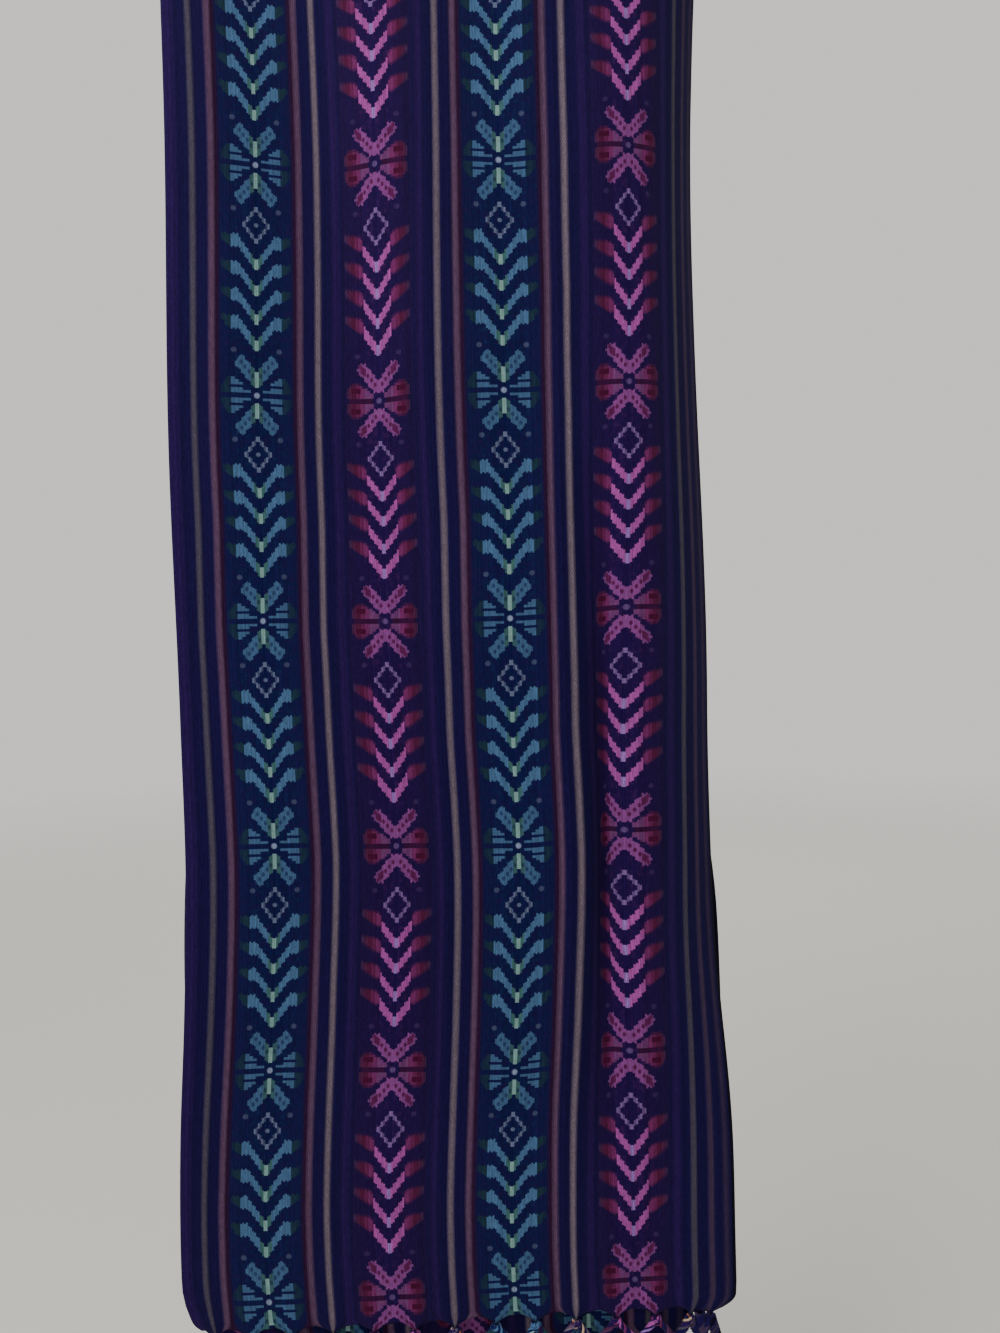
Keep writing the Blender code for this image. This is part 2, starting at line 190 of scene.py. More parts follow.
def slanting_bump(fold, drop, across):
    """Share, from 0 to 1, of a flank or ridge that runs slantwise down the cloth."""
    down = np.clip((drop - fold.start) / (fold.end - fold.start), 0.0, 1.0)
    centre = fold.across_top + (fold.across_low - fold.across_top) * down
    bump = np.exp(-((across - centre) / fold.reach) ** 2)
    return swell(drop, fold.start, fold.peak, fold.end) * bump


def running_total(steps):
    """Running total of some steps, from 0."""
    return np.concatenate(([0.0], np.cumsum(steps)))


def along_rows(drop, rows):
    """Value at a drop of a smooth curve through (drop, value) rows."""
    places = [row[0] for row in rows]
    values = [row[1] for row in rows]
    slopes = np.gradient(values, places)
    i = min(max(int(np.searchsorted(places, drop)) - 1, 0), len(rows) - 2)
    span = places[i + 1] - places[i]
    t = min(max((drop - places[i]) / span, 0.0), 1.0)
    start = (1 + 2 * t) * (1 - t) ** 2 * values[i] + t * (1 - t) ** 2 * span * slopes[i]
    end = t * t * (3 - 2 * t) * values[i + 1] - t * t * (1 - t) * span * slopes[i + 1]
    return start + end


FINE_ACROSS = np.linspace(0.0, OUTER_WIDTH, 320)
FINE_DROPS = np.linspace(0.0, FRONT_DROP, 211)


def section_at(drop):
    """X, depth and turn along the cloth's section at one drop, for FINE_ACROSS."""
    angle = np.zeros_like(FINE_ACROSS)
    for flank in FLANKS:
        angle += flank.degrees * slanting_bump(flank, drop, FINE_ACROSS)
    angle += along_rows(drop, SELVAGE_TURN) * smooth((FINE_ACROSS - TURN_FROM) / (TURN_TO - TURN_FROM))
    angle = np.radians(angle)
    step = FINE_ACROSS[1] - FINE_ACROSS[0]
    middle = 0.5 * (angle[1:] + angle[:-1])
    x = running_total(np.cos(middle) * step)
    depth = running_total(np.sin(middle) * step)
    return np.array((x + along_rows(drop, SWAY) - OUTER_WIDTH / 2, depth, angle))


SECTIONS = np.array([section_at(drop) for drop in FINE_DROPS])


def on_section(drop, across):
    """X, depth and turn at arrays of drops and places across."""
    row = np.clip(drop / FRONT_DROP, 0.0, 1.0) * (len(FINE_DROPS) - 1)
    column = np.clip(across / OUTER_WIDTH, 0.0, 1.0) * (len(FINE_ACROSS) - 1)
    i = np.minimum(row.astype(int), len(FINE_DROPS) - 2)
    j = np.minimum(column.astype(int), len(FINE_ACROSS) - 2)
    a = row - i
    b = column - j
    found = []
    for kind in range(3):
        table = SECTIONS[:, kind, :]
        upper = table[i, j] * (1 - b) + table[i, j + 1] * b
        lower = table[i + 1, j] * (1 - b) + table[i + 1, j + 1] * b
        found.append(upper * (1 - a) + lower * a)
    return found


def corner_inset(corner, from_edge, above):
    """How far the drawn-in warps move from one edge towards the middle."""
    near_edge = smooth(1.0 - from_edge / corner["reach"])
    return corner["inset"] * near_edge * np.maximum(1.0 - above / corner["height"], 0.0) ** 2


def relief(side, drop, across):
    """Depth that the soft ridges and a faint unevenness add, towards the front where negative."""
    added = np.zeros_like(across)
    for ridge in RIDGES:
        added -= ridge.height * slanting_bump(ridge, drop, across)
    fade = smooth(drop / 0.10)
    close = np.sin(91.0 * across + 7.0 * drop + side) * np.sin(11.0 * drop + 40.0 * across)
    added += UNEVEN_CLOSE * fade * close
    added += UNEVEN_WIDE * fade * np.sin(23.0 * drop + 17.0 * across + 2.0 * side)
    return added


def drop_points(side, across, offset, above, hidden):
    """Points on the front or the back drop, at offsets out from the rod's side.

    The hidden layer ends lower than the outer one in front and higher behind, more so towards its selvage.
    """
    rise = HEM_RISE * smooth((across - 0.6 * OUTER_WIDTH) / (0.4 * OUTER_WIDTH))
    hem = FRONT_DROP - rise if side == FRONT else BACK_DROP + rise
    drop = hem - above
    as_front = drop * FRONT_DROP / hem
    x, depth, turn = on_section(as_front, across)
    held = np.maximum(above, 0.0)
    x = x + corner_inset(FOLD_CORNER, across, held)
    x = x - corner_inset(SELVAGE_CORNER, OUTER_WIDTH - across, held)
    depth = depth + relief(side, as_front, across)
    near_fold = np.clip(across / HIDDEN_WIDTH, 0.0, 1.0)
    offset = offset - hidden * HEM_FLARE * smooth(5.0 * near_fold) * np.exp(-held / HEM_FLARE_HEIGHT)
    x = x - side * np.sin(turn) * offset
    y = side * ROD_RADIUS + depth + side * np.cos(turn) * offset
    if side == FRONT:
        lower = hidden * HIDDEN_LOWER * (1.0 - (1.0 - near_fold) ** HIDDEN_HEM_CURVE)
    else:
        lower = hidden * -HIDDEN_HIGHER * near_fold
    sagging = 1.0 - smooth((across - HEM_SAG_TO) / HEM_SAG_FADE)
    sag = HEM_SAG * sagging * np.exp(-held / HEM_SAG_HEIGHT) * (side == FRONT)
    return np.stack((x, y, -drop * (1.0 + lower / hem) - sag), axis=-1)


def knots_of(hidden):
    """Places across of the first knots of one layer, the last one drawn in from the selvage."""
    first = HIDDEN_FIRST_KNOT if hidden else OUTER_FIRST_KNOT
    corner = (HIDDEN_WIDTH if hidden else OUTER_WIDTH) - CORNER_KNOT_INSET
    count = int((corner - first) / KNOT_PITCH - 0.4) + 1
    return np.array([first + KNOT_PITCH * i for i in range(count)] + [corner])


def near_knot(across, hidden):
    """The nearest first knot, and how far towards the next gap's middle each place lies, 0 to 1."""
    knots = knots_of(hidden)
    nearest = knots[np.argmin(np.abs(across[:, None] - knots[None, :]), axis=1)]
    return nearest, np.clip(np.abs(across - nearest) / (KNOT_PITCH / 2), 0.0, 1.0)


def pattern_phase(across, along, hidden):
    """Repeats of the figures counted up from the front hem, with a flower at each whole number."""
    phases = []
    for heights in FLOWERS:
        heights = np.array(heights)
        phase = np.interp(along, heights, np.arange(len(heights)))
        phase = np.where(along < heights[0], (along - heights[0]) / REPEAT, phase)
        past = len(heights) - 1 + (along - heights[-1]) / REPEAT
        phases.append(np.where(along > heights[-1], past, phase))
    if hidden:
        return phases[0]
    bands = np.clip((across - FOLD_TO_FIRST_BAND) / BAND_PITCH, 0.0, len(FLOWERS) - 1.0)
    low = np.minimum(bands.astype(int), len(FLOWERS) - 2)
    share = smooth(bands - low)
    table = np.array(phases)
    columns = np.arange(len(across))
    return table[low, columns] * (1 - share) + table[low + 1, columns] * share


def stray_at(across, drop):
    """How far the front's warps lie towards the fold of their even places, none at the fold or selvage."""
    drops = [row.drop for row in STRAYS]
    places = (0.0, *STRAY_AT, OUTER_WIDTH)
    by = [np.interp(drop, drops, [row.by[i] for row in STRAYS]) for i in range(len(STRAY_AT))]
    values = np.array([np.zeros_like(across), *by, np.zeros_like(across)])
    column = np.clip(np.searchsorted(places, across) - 1, 0, len(places) - 2)
    starts = np.take(places, column)
    share = smooth((across - starts) / (np.take(places, column + 1) - starts))
    picked = np.arange(len(across))
    stripes = values[column, picked] * (1.0 - share) + values[column + 1, picked] * share
    wave = np.cos(math.pi * (across - FOLD_TO_FIRST_BAND) / BAND_PITCH)
    bands = COOL_BAND_STRAY * np.maximum(wave, 0.0) - WARM_BAND_STRAY * np.maximum(-wave, 0.0)
    inside = smooth(across / FOLD_TO_FIRST_BAND) * smooth((OUTER_WIDTH - across) / SELVAGE_MARGIN)
    return stripes + bands * inside * swell(drop, BAND_STRAY_FROM, BAND_STRAY_PEAK, BAND_STRAY_TO)


def put(name, data):
    """A new object in the scene."""
    made = bpy.data.objects.new(name, data)
    bpy.context.scene.collection.objects.link(made)
    return made


def add_piece(name, points, faces, uvs, material):
    """A mesh piece with named UV maps given per vertex, riding on the one body."""
    data = bpy.data.meshes.new(name)
    data.from_pydata([tuple(p) for p in points], [], faces)
    corners = np.empty(len(data.loops), dtype=np.int32)
    data.loops.foreach_get("vertex_index", corners)
    for uv_name, values in uvs.items():
        layer = data.uv_layers.new(name=uv_name)
        layer.data.foreach_set("uv", np.asarray(values, dtype=np.float32)[corners].ravel())
    data.materials.append(material)
    data.shade_smooth()
    data.validate()
    made = put(name, data)
    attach(made, "root")
    return made


# ---- the cloth

COLUMN_STEP = KNOT_PITCH / 10
HIDDEN_COLUMN_STEP = KNOT_PITCH / 5
FOLD_ARC_STEPS = 7
FOLD_EASE = 0.010
HEM_ROWS = 5
FRONT_ROWS = 132
BACK_ROWS = 88
ROD_ROWS = 14


def layer_columns(width, first_knot, step):
    """Places across, in even steps that meet the knots and the middles between them."""
    start = first_knot % step
    inner = np.arange(start, width - step / 3, step)
    if inner[0] < step / 3:
        inner = inner[1:]
    return np.concatenate(([0.0], inner, [width]))


def section_path():
    """The hairpin section, selvage to selvage: across, offsets outside and inside, warp place, layer."""
    outer = layer_columns(OUTER_WIDTH, OUTER_FIRST_KNOT, COLUMN_STEP)[::-1]
    hidden = layer_columns(HIDDEN_WIDTH, HIDDEN_FIRST_KNOT, HIDDEN_COLUMN_STEP)
    middle = 0.5 * (HIDDEN_OUTER + OUTER_INNER)
    outside_radius = OUTER_OUTER - middle
    inside_radius = OUTER_INNER - middle
    half_arc = 0.5 * math.pi * 0.5 * (outside_radius + inside_radius)

    def warp(across):
        return across + half_arc * np.maximum(1.0 - across / FOLD_EASE, 0.0)

    def joined(on_outer, on_fold, on_hidden):
        return np.concatenate((np.full(len(outer), on_outer), on_fold, np.full(len(hidden), on_hidden)))

    angles = np.linspace(0.0, math.pi, FOLD_ARC_STEPS + 2)[1:-1]
    across = np.concatenate((outer, np.zeros(len(angles)), hidden))
    outside = joined(OUTER_OUTER, middle + outside_radius * np.cos(angles), HIDDEN_INNER)
    inside = joined(OUTER_INNER, middle + inside_radius * np.cos(angles), HIDDEN_OUTER)
    past_outside = joined(0.0, -outside_radius * np.sin(angles), 0.0)
    past_inside = joined(0.0, -inside_radius * np.sin(angles), 0.0)
    place = np.concatenate((warp(outer), half_arc * np.cos(angles), -warp(hidden)))
    hidden_side = joined(0.0, np.zeros(len(angles)), 1.0) > 0.5
    return across, (outside, inside), (past_outside, past_inside), place, hidden_side


def hem_shape(across, hidden_side):
    """For every column: its knot, and the height of the cloth's arched edge above the straight hem."""
    knot = np.empty_like(across)
    arch = np.empty_like(across)
    for hidden in (False, True):
        chosen = hidden_side == hidden
        nearest, share = near_knot(across[chosen], hidden)
        knot[chosen] = nearest
        before_last, last = knots_of(hidden)[-2:]
        in_last_gap = (across[chosen] > before_last) & (across[chosen] < last)
        height = HIDDEN_HEM_ARCH if hidden else OUTER_HEM_ARCH
        arch[chosen] = height * np.where(in_last_gap, LAST_GAP_ARCH_SHARE, 1.0) * share ** 1.5
    return knot, arch


def cloth_row(side, above, across, offset, past, knot, hidden_side):
    """One row of the cloth on a drop, with the warps drawn towards their knots near the hem."""
    pull = GATHER * np.maximum(1.0 - above / GATHER_HEIGHT, 0.0) ** 2
    moved = across + (knot - across) * pull
    tension = np.exp(-above / PUCKER_HEIGHT)
    outward = np.where(offset > 0.5 * (HIDDEN_OUTER + OUTER_INNER), 1.0, -1.0)
    lift = PUCKER * tension * np.cos(2 * math.pi * (across - knot) / KNOT_PITCH) * np.maximum(outward, 0.0)
    points = drop_points(side, np.clip(moved, 0.0, OUTER_WIDTH), offset + lift, above, hidden_side)
    points[:, 0] += past
    return points


def make_cloth(material):
    """The doubled cloth, as one closed thin shell from the front hem over the rod to the back hem."""
    across, offsets, pasts, place, hidden_side = section_path()
    knot, arch = hem_shape(across, hidden_side)
    over_rod = math.pi * (ROD_RADIUS + 0.5 * (HIDDEN_INNER + OUTER_OUTER))
    hem_rows = [arch + (HEM_ZONE - arch) * step / HEM_ROWS for step in range(HEM_ROWS)]
    stations = [(FRONT, row) for row in hem_rows]
    for height in np.linspace(HEM_ZONE, FRONT_DROP, FRONT_ROWS)[:-1]:
        stations.append((FRONT, np.full_like(across, height)))
    stations += [(ON_ROD, angle) for angle in np.linspace(0.0, math.pi, ROD_ROWS + 1)]
    for height in np.linspace(BACK_DROP, HEM_ZONE, BACK_ROWS)[1:]:
        stations.append((BACK, np.full_like(across, height)))
    stations += [(BACK, row) for row in reversed(hem_rows)]

    points = []
    warps = []
    phases = []
    for side, value in stations:
        for offset, past in zip(offsets, pasts):
            if side == ON_ROD:
                radius = ROD_RADIUS + offset
                row = np.stack((
                    across - OUTER_WIDTH / 2 + past, -radius * math.cos(value), radius * math.sin(value),
                ), axis=-1)
                along = np.full_like(across, FRONT_DROP + over_rod * value / math.pi)
            else:
                row = cloth_row(side, value, across, offset, past, knot, hidden_side)
                along = value if side == FRONT else FRONT_DROP + over_rod + BACK_DROP - value
            phase = pattern_phase(across, along, False)
            phase = np.where(hidden_side, pattern_phase(across, along, True), phase)
            strayed = place
            if side == FRONT:
                strayed = place + np.where(hidden_side, 0.0, stray_at(across, FRONT_DROP - value))
            points.append(row)
            warps.append(np.stack((strayed, along), axis=-1))
            phases.append(np.stack((strayed, phase), axis=-1))

    count = len(across)
    faces = []
    rows = len(stations)
    for row in range(rows - 1):
        out_low = 2 * row * count
        in_low = out_low + count
        out_high = out_low + 2 * count
        in_high = out_high + count
        for i in range(count - 1):
            faces.append((out_low + i, out_low + i + 1, out_high + i + 1, out_high + i))
            faces.append((in_low + i + 1, in_low + i, in_high + i, in_high + i + 1))
        last = count - 1
        faces.append((out_low, out_high, in_high, in_low))
        faces.append((out_low + last, in_low + last, in_high + last, out_high + last))
    for row, flip in ((0, False), (rows - 1, True)):
        base = 2 * row * count
        for i in range(count - 1):
            face = (base + i, base + count + i, base + count + i + 1, base + i + 1)
            faces.append(face[::-1] if flip else face)
    made = add_piece(
        "rebozo_cloth", np.concatenate(points), faces,
        {"warp": np.concatenate(warps), "figure": np.concatenate(phases)}, material,
    )
    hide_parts("cloth")
    return made


# ---- the fringes

LEG_TOP = 0.0015
LEG_BOTTOM = 0.0140
FIRST_KNOT_AT = 0.0030
SECOND_KNOT_AT = 0.0143
KNOT_HEIGHT = 0.0052
KNOT_WIDTH = 0.0026
KNOT_DEPTH = 0.0012
YARN_RADIUS = 0.00050
LEG_YARN_RADIUS = 0.00082
YARN_SIDES = 5
KNOT_YARNS = 6
KNOT_TURNS = 1.35
LEG_YARNS = 6
STRAND_YARNS = 3
STRAND_REACH = 0.00052
LEG_REACH = 0.00160
LEG_FLATNESS = 0.75
SPARE_REACH = 0.0036
SPARE_YARNS = 14
SELVAGE_LEG_SIZE = 1.8
END_KNOT_OUT = 0.0035
LEG_BOW = 0.0005
LEG_CROSSING = 0.0003
STRAND_START = 0.001
STRAND_WAVE = 0.0009
STRAND_DRIFT = 0.0005
TWIST_LENGTH = 0.0120


class Yarns:
    """A bundle of yarn tubes, collected as one mesh."""

    def __init__(self, side, hidden):
        self.side = side
        self.hidden = hidden
        self.points = []
        self.faces = []
        self.uv = []

    def place(self, across, below, outward):
        """World positions of arrays of places across, depths below the hem and distances outward."""
        spread = (-1 if self.hidden else 1) * LAYER_SPREAD * smooth(below / LAYER_SPREAD_REACH)
        inner = HIDDEN_INNER if self.hidden else OUTER_OUTER - SOLID_WALL
        on_cloth = np.clip(across, 0.0, OUTER_WIDTH)
        offset = inner + SOLID_WALL / 2 + spread + outward
        points = drop_points(self.side, on_cloth, offset, np.zeros_like(across), self.hidden)
        points[:, 0] += across - on_cloth
        points[:, 2] -= below
        return points

    def tube(self, path, radii, sides, warp, kind):
        """A closed tube along a path. Its map holds the warp place, and the kind of yarn with a trace of
        the length along it."""
        tangents = np.gradient(path, axis=0)
        tangents /= np.linalg.norm(tangents, axis=1)[:, None]
        normal = np.cross(tangents[0], (0.3, 1.0, 0.2))
        start = len(self.points)
        turns = 2 * math.pi * np.arange(sides) / sides
        lengths = running_total(np.linalg.norm(np.diff(path, axis=0), axis=1))
        for point, tangent, radius, length in zip(path, tangents, radii, lengths):
            normal = normal - tangent * np.dot(normal, tangent)
            normal /= np.linalg.norm(normal)
            other = np.cross(tangent, normal)
            for turn in turns:
                self.points.append(point + radius * (math.cos(turn) * normal + math.sin(turn) * other))
                self.uv.append((warp, kind + 0.5 * length))
        for ring in range(len(path) - 1):
            low = start + ring * sides
            high = low + sides
            for i in range(sides):
                j = (i + 1) % sides
                self.faces.append((low + i, low + j, high + j, high + i))
        self.faces.append(tuple(start + i for i in reversed(range(sides))))
        end = start + (len(path) - 1) * sides
        self.faces.append(tuple(end + i for i in range(sides)))

    def cord(self, across, below, outward, radius, reach, warps, phase, thin_end=1.0):
        """A few yarns twisted loosely round one another along a line of places."""
        length = running_total(np.hypot(np.diff(across), np.diff(below)))
        for ply, (warp, kind) in enumerate(warps):
            angle = phase + 2 * math.pi * (length / TWIST_LENGTH + ply / len(warps))
            path = self.place(
                across + reach * np.cos(angle), below, outward + LEG_FLATNESS * reach * np.sin(angle),
            )
            radii = radius * (1.0 - (1.0 - thin_end) * (length / length[-1]) ** 3)
            self.tube(path, radii, YARN_SIDES, warp, kind)

    def knot(self, across, below, warps, phase):
        """An overhand knot drawn tight: yarns that wind slantwise round the bundle."""
        t = np.linspace(0.0, 1.0, 19)
        for ply, (warp, kind) in enumerate(warps):
            turn = phase + 2 * math.pi * (KNOT_TURNS * t + ply / len(warps))
            bulge = 0.35 + 0.65 * np.sin(math.pi * t) ** 0.6
            x = across + KNOT_WIDTH * bulge * np.cos(turn)
            y = KNOT_DEPTH * bulge * np.sin(turn)
            z = below + KNOT_HEIGHT * ((t - 0.5) * 0.8 + 0.16 * np.sin(turn))
            radii = LEG_YARN_RADIUS * (0.65 + 0.35 * np.sin(math.pi * t))
            self.tube(self.place(x, z, y), radii, YARN_SIDES, warp, kind)


def make_fringe(name, node, side, hidden, material):
    """One knotted fringe: a knot at each gathering of the hem, crossed legs, second knots and cords."""
    yarns = Yarns(side, hidden)
    mirror = -1.0 if hidden else 1.0
    knots = knots_of(hidden)
    seed = 1.3 * side + 2.1 * hidden
    quarter = KNOT_PITCH / 4

    def shades(centre, spread, count):
        """Warp places of a bundle's yarns, and kinds: 0 ground, 1 figure, 2 bright at the tan stripes."""
        steps = (np.arange(count) + 0.5) / count - 0.5
        kinds = (0.0, 0.0, 1.0, 0.0) if hidden else (1.0, 0.0, 2.0, 1.0, 0.0, 0.0)
        return [(mirror * (centre + spread * step), kinds[i % len(kinds)]) for i, step in enumerate(steps)]

    for i, knot in enumerate(knots):
        yarns.knot(knot, FIRST_KNOT_AT, shades(knot, KNOT_PITCH * 0.8, KNOT_YARNS), seed + 2.2 * i)
        for direction in (-1, 1):
            neighbour = i + direction
            if 0 <= neighbour < len(knots):
                target = 0.5 * (knot + knots[neighbour])
            else:
                target = knot + direction * END_KNOT_OUT
            t = np.linspace(0.0, 1.0, 15)
            bow = LEG_BOW * math.sin(1.9 * i + direction)
            across = knot + (target - knot) * t ** 1.12 + bow * np.sin(math.pi * t)
            below = LEG_TOP + (LEG_BOTTOM - LEG_TOP) * t ** 0.92
            outward = LEG_CROSSING * direction * np.sin(math.pi * t)
            thick = SELVAGE_LEG_SIZE if knot > OUTER_WIDTH - 0.5 * SELVAGE_MARGIN else 1.0
            yarns.cord(
                across, below, outward, LEG_YARN_RADIUS, thick * LEG_REACH,
                shades(knot + direction * quarter, 2 * quarter, LEG_YARNS), seed + 1.7 * i + direction,
            )

    # The selvage's spare warps fill the outer layer's last gap, from the hem down to its second knot
    if not hidden:
        t = np.linspace(0.0, 1.0, 15)
        middle = 0.5 * (knots[-2] + knots[-1])
        yarns.cord(
            middle + 0.0 * t, LEG_BOTTOM * t, 0.0 * t, LEG_YARN_RADIUS, SPARE_REACH * (1.0 - 0.5 * t),
            shades(middle, KNOT_PITCH * 0.3, SPARE_YARNS), seed,
        )

    ends = [(knots[0] - END_KNOT_OUT, 2)]
    ends += [(0.5 * (a + b), 4) for a, b in zip(knots, knots[1:])]
    ends.append((knots[-1] + END_KNOT_OUT, 2))
    for i, (centre, strands) in enumerate(ends):
        bundle = shades(centre, KNOT_PITCH * 0.7, KNOT_YARNS)
        yarns.knot(centre, SECOND_KNOT_AT, bundle, seed + 1.1 * i + 0.6)
        for strand in range(strands):
            place = strand - (strands - 1) / 2
            uneven = math.sin(2.4 * i + 1.7 * strand)
            length = STRAND_LENGTH + STRAND_LENGTH_SPREAD * uneven
            t = np.linspace(0.0, 1.0, 40)
            wave = STRAND_WAVE * np.sin(5.0 * t + 1.3 * i + 2.0 * strand + seed) * smooth(2.0 * t)
            splay = place * STRAND_SPLAY * (1.0 - (1.0 - t) ** 2)
            across = centre + place * STRAND_SPACING * (0.6 + 0.4 * smooth(4 * t)) + splay + wave
            below = SECOND_KNOT_AT + STRAND_START + length * t
            outward = STRAND_DRIFT * np.sin(4.0 * t + 2.2 * i + strand) * smooth(2.0 * t)
            yarns.cord(
                across, below, outward, YARN_RADIUS, STRAND_REACH,
                shades(centre + place * quarter, quarter, STRAND_YARNS), seed + 2.9 * i + strand, 0.75,
            )
    made = add_piece(name, yarns.points, yarns.faces, {"warp": yarns.uv}, material)
    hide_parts(node)
    return made


# ---- materials


def math_method(operation, swapped=False):
    """A method of Num that adds one Math node, with the number first or, where swapped, last."""
    def method(self, *others):
        values = (*others, self) if swapped else (self, *others)
        return self.make(operation, *values)
    return method


class Num:
    """A number that varies over a surface: the output of a node, with arithmetic that adds Math nodes."""

    def __init__(self, tree, socket):
        self.tree = tree
        self.socket = socket

    def make(self, operation, *values, clamp=False):
        node = self.tree.nodes.new("ShaderNodeMath")
        node.operation = operation
        node.use_clamp = clamp
        for slot, value in zip(node.inputs, values):
            if isinstance(value, Num):
                self.tree.links.new(value.socket, slot)
            else:
                slot.default_value = value
        return Num(self.tree, node.outputs[0])

    __add__ = math_method("ADD")
    __radd__ = math_method("ADD", swapped=True)
    __sub__ = math_method("SUBTRACT")
    __rsub__ = math_method("SUBTRACT", swapped=True)
    __mul__ = math_method("MULTIPLY")
    __rmul__ = math_method("MULTIPLY", swapped=True)
    __truediv__ = math_method("DIVIDE")
    __lt__ = math_method("LESS_THAN")
    __gt__ = math_method("GREATER_THAN")
    __abs__ = math_method("ABSOLUTE")
    floor = math_method("FLOOR")
    round = math_method("ROUND")
    fraction = math_method("FRACT")
    root = math_method("SQRT")
    least = math_method("MINIMUM")
    most = math_method("MAXIMUM")

    def __neg__(self):
        return self.make("MULTIPLY", self, -1.0)

    def clamp(self):
        return self.make("ADD", self, 0.0, clamp=True)

    def within(self, centre, half_width):
        """1 where the number is closer to centre than half_width."""
        return abs(self - centre) < half_width

    def crest(self):
        """A rounded ridge once a unit: 1 at the half, 0 at the whole numbers."""
        away = self.fraction() * 2.0 - 1.0
        return 1.0 - away * away


def pair(tree, uv_name):
    """The two coordinates of a UV map."""
    uv = tree.nodes.new("ShaderNodeUVMap")
    uv.uv_map = uv_name
    split = tree.nodes.new("ShaderNodeSeparateXYZ")
    tree.links.new(uv.outputs["UV"], split.inputs[0])
    return Num(tree, split.outputs["X"]), Num(tree, split.outputs["Y"])


def set_inputs(node, values):
    """Set a node's inputs by name."""
    for name, value in values.items():
        node.inputs[name].default_value = value


def own_place(tree):
    """A piece's own coordinates."""
    return tree.nodes.new("ShaderNodeTexCoord").outputs["Object"]


def noise(tree, scale, detail, vector=None, roughness=0.5):
    """A noise value from 0 to 1, by default on the piece's own coordinates."""
    node = tree.nodes.new("ShaderNodeTexNoise")
    set_inputs(node, {"Scale": scale, "Detail": detail, "Roughness": roughness})
    tree.links.new(vector or own_place(tree), node.inputs["Vector"])
    return Num(tree, node.outputs["Fac"])


def chance(tree, x, y):
    """A fixed random number from 0 to 1 for each pair of whole numbers."""
    node = tree.nodes.new("ShaderNodeTexWhiteNoise")
    node.noise_dimensions = "2D"
    both = combine(tree, x, y)
    tree.links.new(both, node.inputs["Vector"])
    return Num(tree, node.outputs["Value"])


def combine(tree, x, y, z=None):
    """A vector from two or three numbers."""
    node = tree.nodes.new("ShaderNodeCombineXYZ")
    for slot, value in zip(node.inputs, (x, y, z)):
        if isinstance(value, Num):
            tree.links.new(value.socket, slot)
        elif value is not None:
            slot.default_value = value
    return node.outputs[0]


def blend(tree, share, below, above, mode="MIX"):
    """below where share is 0 and above where it is 1; each is a colour or a colour socket."""
    node = tree.nodes.new("ShaderNodeMix")
    node.data_type = "RGBA"
    node.blend_type = mode
    if isinstance(share, Num):
        tree.links.new(share.socket, node.inputs[0])
    else:
        node.inputs[0].default_value = share
    for slot, value in ((node.inputs[6], below), (node.inputs[7], above)):
        if isinstance(value, tuple):
            slot.default_value = (*value, 1.0)
        else:
            tree.links.new(value, slot)
    return node.outputs[2]


def steps(tree, number, rows):
    """A colour that changes in steps: rows of (from this number on, colour), for numbers below 10."""
    node = tree.nodes.new("ShaderNodeValToRGB")
    ramp = node.color_ramp
    ramp.interpolation = "CONSTANT"
    while len(ramp.elements) < len(rows):
        ramp.elements.new(0.5)
    for element, (start, colour) in zip(ramp.elements, rows):
        element.position = 0.1 * start
        element.color = (*colour, 1.0)
    tree.links.new((number * 0.1).socket, node.inputs[0])
    return node.outputs[0]


COLUMN_WIDTH = 0.0011
CELL_WIDTH = 2 * COLUMN_WIDTH
ROWS_PER_REPEAT = 44.0
YARN_WIDTH = COLUMN_WIDTH / 2
PICK = REPEAT / ROWS_PER_REPEAT / 2

# Places in the chart, in cells from the band's middle and rows below a flower's middle
FIGURE_CELLS = 9.2
ARM_CELLS = 5.8
DIAMOND_ROW = 11.5
FIRST_ARROW_ROW = 19.3
ARROW_ROWS = 5.15
LAST_ARROW = 3.0

NAVY = (0.0076, 0.0035, 0.0500)
BLUE_FIELD = (0.0058, 0.0062, 0.0600)
BLUE_MIDDLE = (0.0034, 0.0050, 0.0560)
PURPLE_FIELD = (0.0110, 0.0034, 0.0470)
PURPLE_MIDDLE = (0.0120, 0.0016, 0.0560)
VIOLET = (0.0190, 0.0045, 0.0640)
PURPLE = (0.0185, 0.0050, 0.0680)
TAN = (0.148, 0.112, 0.150)
DULL_TAN = (0.066, 0.056, 0.086)
ROSE = (0.100, 0.050, 0.106)
EDGE_LINE = (0.030, 0.018, 0.056)
SELVAGE_DARK = (0.0025, 0.0016, 0.0120)
MAROON = (0.024, 0.0038, 0.030)
MARGIN_LINE = (0.048, 0.028, 0.066)
COOL_PALE = (0.200, 0.245, 0.390)
WARM_PALE = (0.220, 0.120, 0.340)

# Colour of each picked-up warp, by its distance from the band's middle in cells
COOL_WARPS = (
    (0.0, (0.175, 0.310, 0.300)),
    (0.5, (0.043, 0.114, 0.120)),
    (1.5, (0.054, 0.122, 0.244)),
    (6.5, (0.0110, 0.0370, 0.0480)),
    (FIGURE_CELLS, BLUE_FIELD),
)
WARM_WARPS = (
    (0.0, (0.245, 0.120, 0.390)),
    (0.5, (0.305, 0.061, 0.280)),
    (3.9, (0.134, 0.0175, 0.100)),
    (5.2, (0.102, 0.0115, 0.0640)),
    (6.2, (0.066, 0.0064, 0.0370)),
    (7.3, (0.064, 0.0105, 0.0480)),
    (8.3, (0.070, 0.0230, 0.0760)),
    (FIGURE_CELLS, PURPLE_FIELD),
)
ARM_PINK = (0.186, 0.044, 0.200)
ARM_TIP_PINK = (0.145, 0.038, 0.165)
INNER_PINK = (0.125, 0.035, 0.128)
CRIMSON = (0.085, 0.0085, 0.064)
